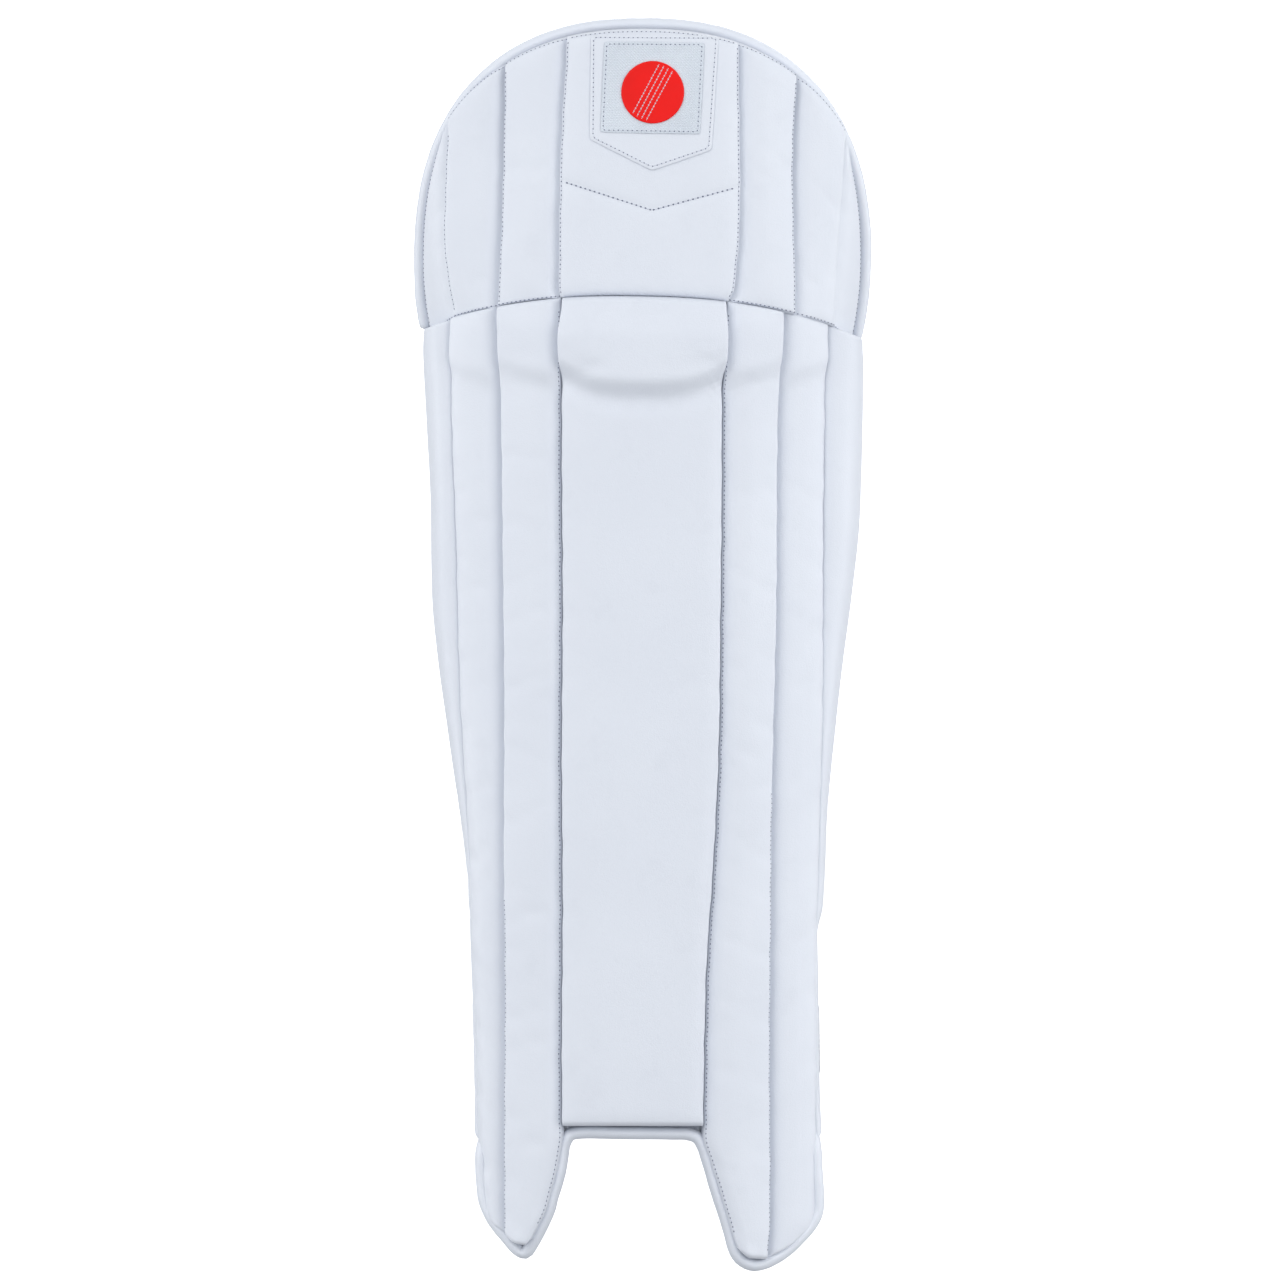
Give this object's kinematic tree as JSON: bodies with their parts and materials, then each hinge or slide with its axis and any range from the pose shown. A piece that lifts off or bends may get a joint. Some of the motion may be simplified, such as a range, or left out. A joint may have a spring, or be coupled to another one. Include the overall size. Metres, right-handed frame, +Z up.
{
  "type": "cricket leg pad",
  "caption": "Padded leg guard for a cricket wicket-keeper: quilted shin channels, side wings, a short domed top hat that bends at the knee, and fastening straps behind the leg.",
  "frame": {"origin": "on the flat middle of the lining, where the shin bears, at the height of the instep arch and midway between the two sides", "axes": "+Z up the shin towards the knee, +Y back from the pad's front into the leg, +X to the right as seen from in front of the pad"},
  "size_m": [0.2564, 0.1664, 0.7014],
  "materials": {
    "leather_cloth": "white polyurethane leather cloth, fine grain, low sheen",
    "foam": "closed-cell foam",
    "cane": "split cane, unvarnished",
    "lining": "towelling-faced padded lining",
    "binding": "rolled polyurethane leather binding",
    "webbing": "woven polyester webbing",
    "hook_and_loop": "hook and loop tape",
    "badge_plate": "woven plate with a raised edge",
    "badge_red": "raised gloss print"
  },
  "bodies": {
    "shin": {"shin_center_cover": "leather_cloth", "left_channel_1_cover": "leather_cloth", "left_channel_2_cover": "leather_cloth", "left_wing_cover": "leather_cloth", "right_channel_1_cover": "leather_cloth", "right_channel_2_cover": "leather_cloth", "right_wing_cover": "leather_cloth", "shin_center_foam": "foam", "left_channel_1_foam": "foam", "left_channel_2_foam": "foam", "left_wing_foam": "foam", "right_channel_1_foam": "foam", "right_channel_2_foam": "foam", "right_wing_foam": "foam", "knee_foam": "foam", "shin_center_canes": "cane", "left_canes": "cane", "right_canes": "cane", "shin_lining_center": "lining", "shin_lining_left": "lining", "shin_lining_right": "lining", "left_shin_bolster": "lining", "right_shin_bolster": "lining", "knee_bolster": "lining", "instep_binding": "binding", "left_wing_binding": "binding", "right_wing_binding": "binding", "knee_strap_anchor": "webbing", "knee_strap_loop": "hook_and_loop", "calf_strap_anchor": "webbing", "calf_strap_loop": "hook_and_loop", "ankle_strap_anchor": "webbing", "ankle_strap_loop": "hook_and_loop"},
    "top_hat": {"hat_center_cover": "leather_cloth", "hat_left_1_cover": "leather_cloth", "hat_left_2_cover": "leather_cloth", "hat_left_3_cover": "leather_cloth", "hat_right_1_cover": "leather_cloth", "hat_right_2_cover": "leather_cloth", "hat_right_3_cover": "leather_cloth", "hat_center_foam": "foam", "hat_left_foam": "foam", "hat_right_foam": "foam", "hat_lining": "lining", "hat_bolster": "lining", "hat_binding": "binding", "badge_patch": "leather_cloth", "badge_plate": "badge_plate", "badge_emblem": "badge_red"},
    "knee_strap": {"knee_strap_band": "webbing"},
    "knee_strap_end": {"knee_strap_tail": "webbing", "knee_strap_hook": "hook_and_loop"},
    "calf_strap": {"calf_strap_band": "webbing"},
    "calf_strap_end": {"calf_strap_tail": "webbing", "calf_strap_hook": "hook_and_loop"},
    "ankle_strap": {"ankle_strap_band": "webbing"},
    "ankle_strap_end": {"ankle_strap_tail": "webbing", "ankle_strap_hook": "hook_and_loop"}
  },
  "joints": [
    {"name": "knee_flex", "type": "hinge", "parent": "shin", "child": "top_hat", "pos_m": [0, -0.029, 0.466], "axis": [1, 0, 0], "range_deg": [-5, 25], "stiffness_Nm_per_rad": 6},
    {"name": "knee_strap_open", "type": "hinge", "parent": "shin", "child": "knee_strap", "pos_m": [-0.07683, 0.09372, 0.372], "axis": [-0.0138, 0.081, 0.9966], "range_deg": [0, 100]},
    {"name": "knee_strap_peel", "type": "hinge", "parent": "knee_strap", "child": "knee_strap_end", "pos_m": [0.09866, 0.08983, 0.372], "axis": [0.0039, 0.0846, 0.9964], "range_deg": [0, 120]},
    {"name": "calf_strap_open", "type": "hinge", "parent": "shin", "child": "calf_strap", "pos_m": [-0.06945, 0.08188, 0.236], "axis": [-0.1216, 0.121, 0.9852], "range_deg": [0, 100]},
    {"name": "calf_strap_peel", "type": "hinge", "parent": "calf_strap", "child": "calf_strap_end", "pos_m": [0.0888, 0.07758, 0.236], "axis": [0.0802, 0.1253, 0.9889], "range_deg": [0, 120]},
    {"name": "ankle_strap_open", "type": "hinge", "parent": "shin", "child": "ankle_strap", "pos_m": [-0.05426, 0.05651, 0.05], "axis": [-0.0219, 0.0637, 0.9977], "range_deg": [0, 100]},
    {"name": "ankle_strap_peel", "type": "hinge", "parent": "ankle_strap", "child": "ankle_strap_end", "pos_m": [0.08042, 0.05111, 0.05], "axis": [-0.0129, 0.0667, 0.9977], "range_deg": [0, 120]}
  ]
}
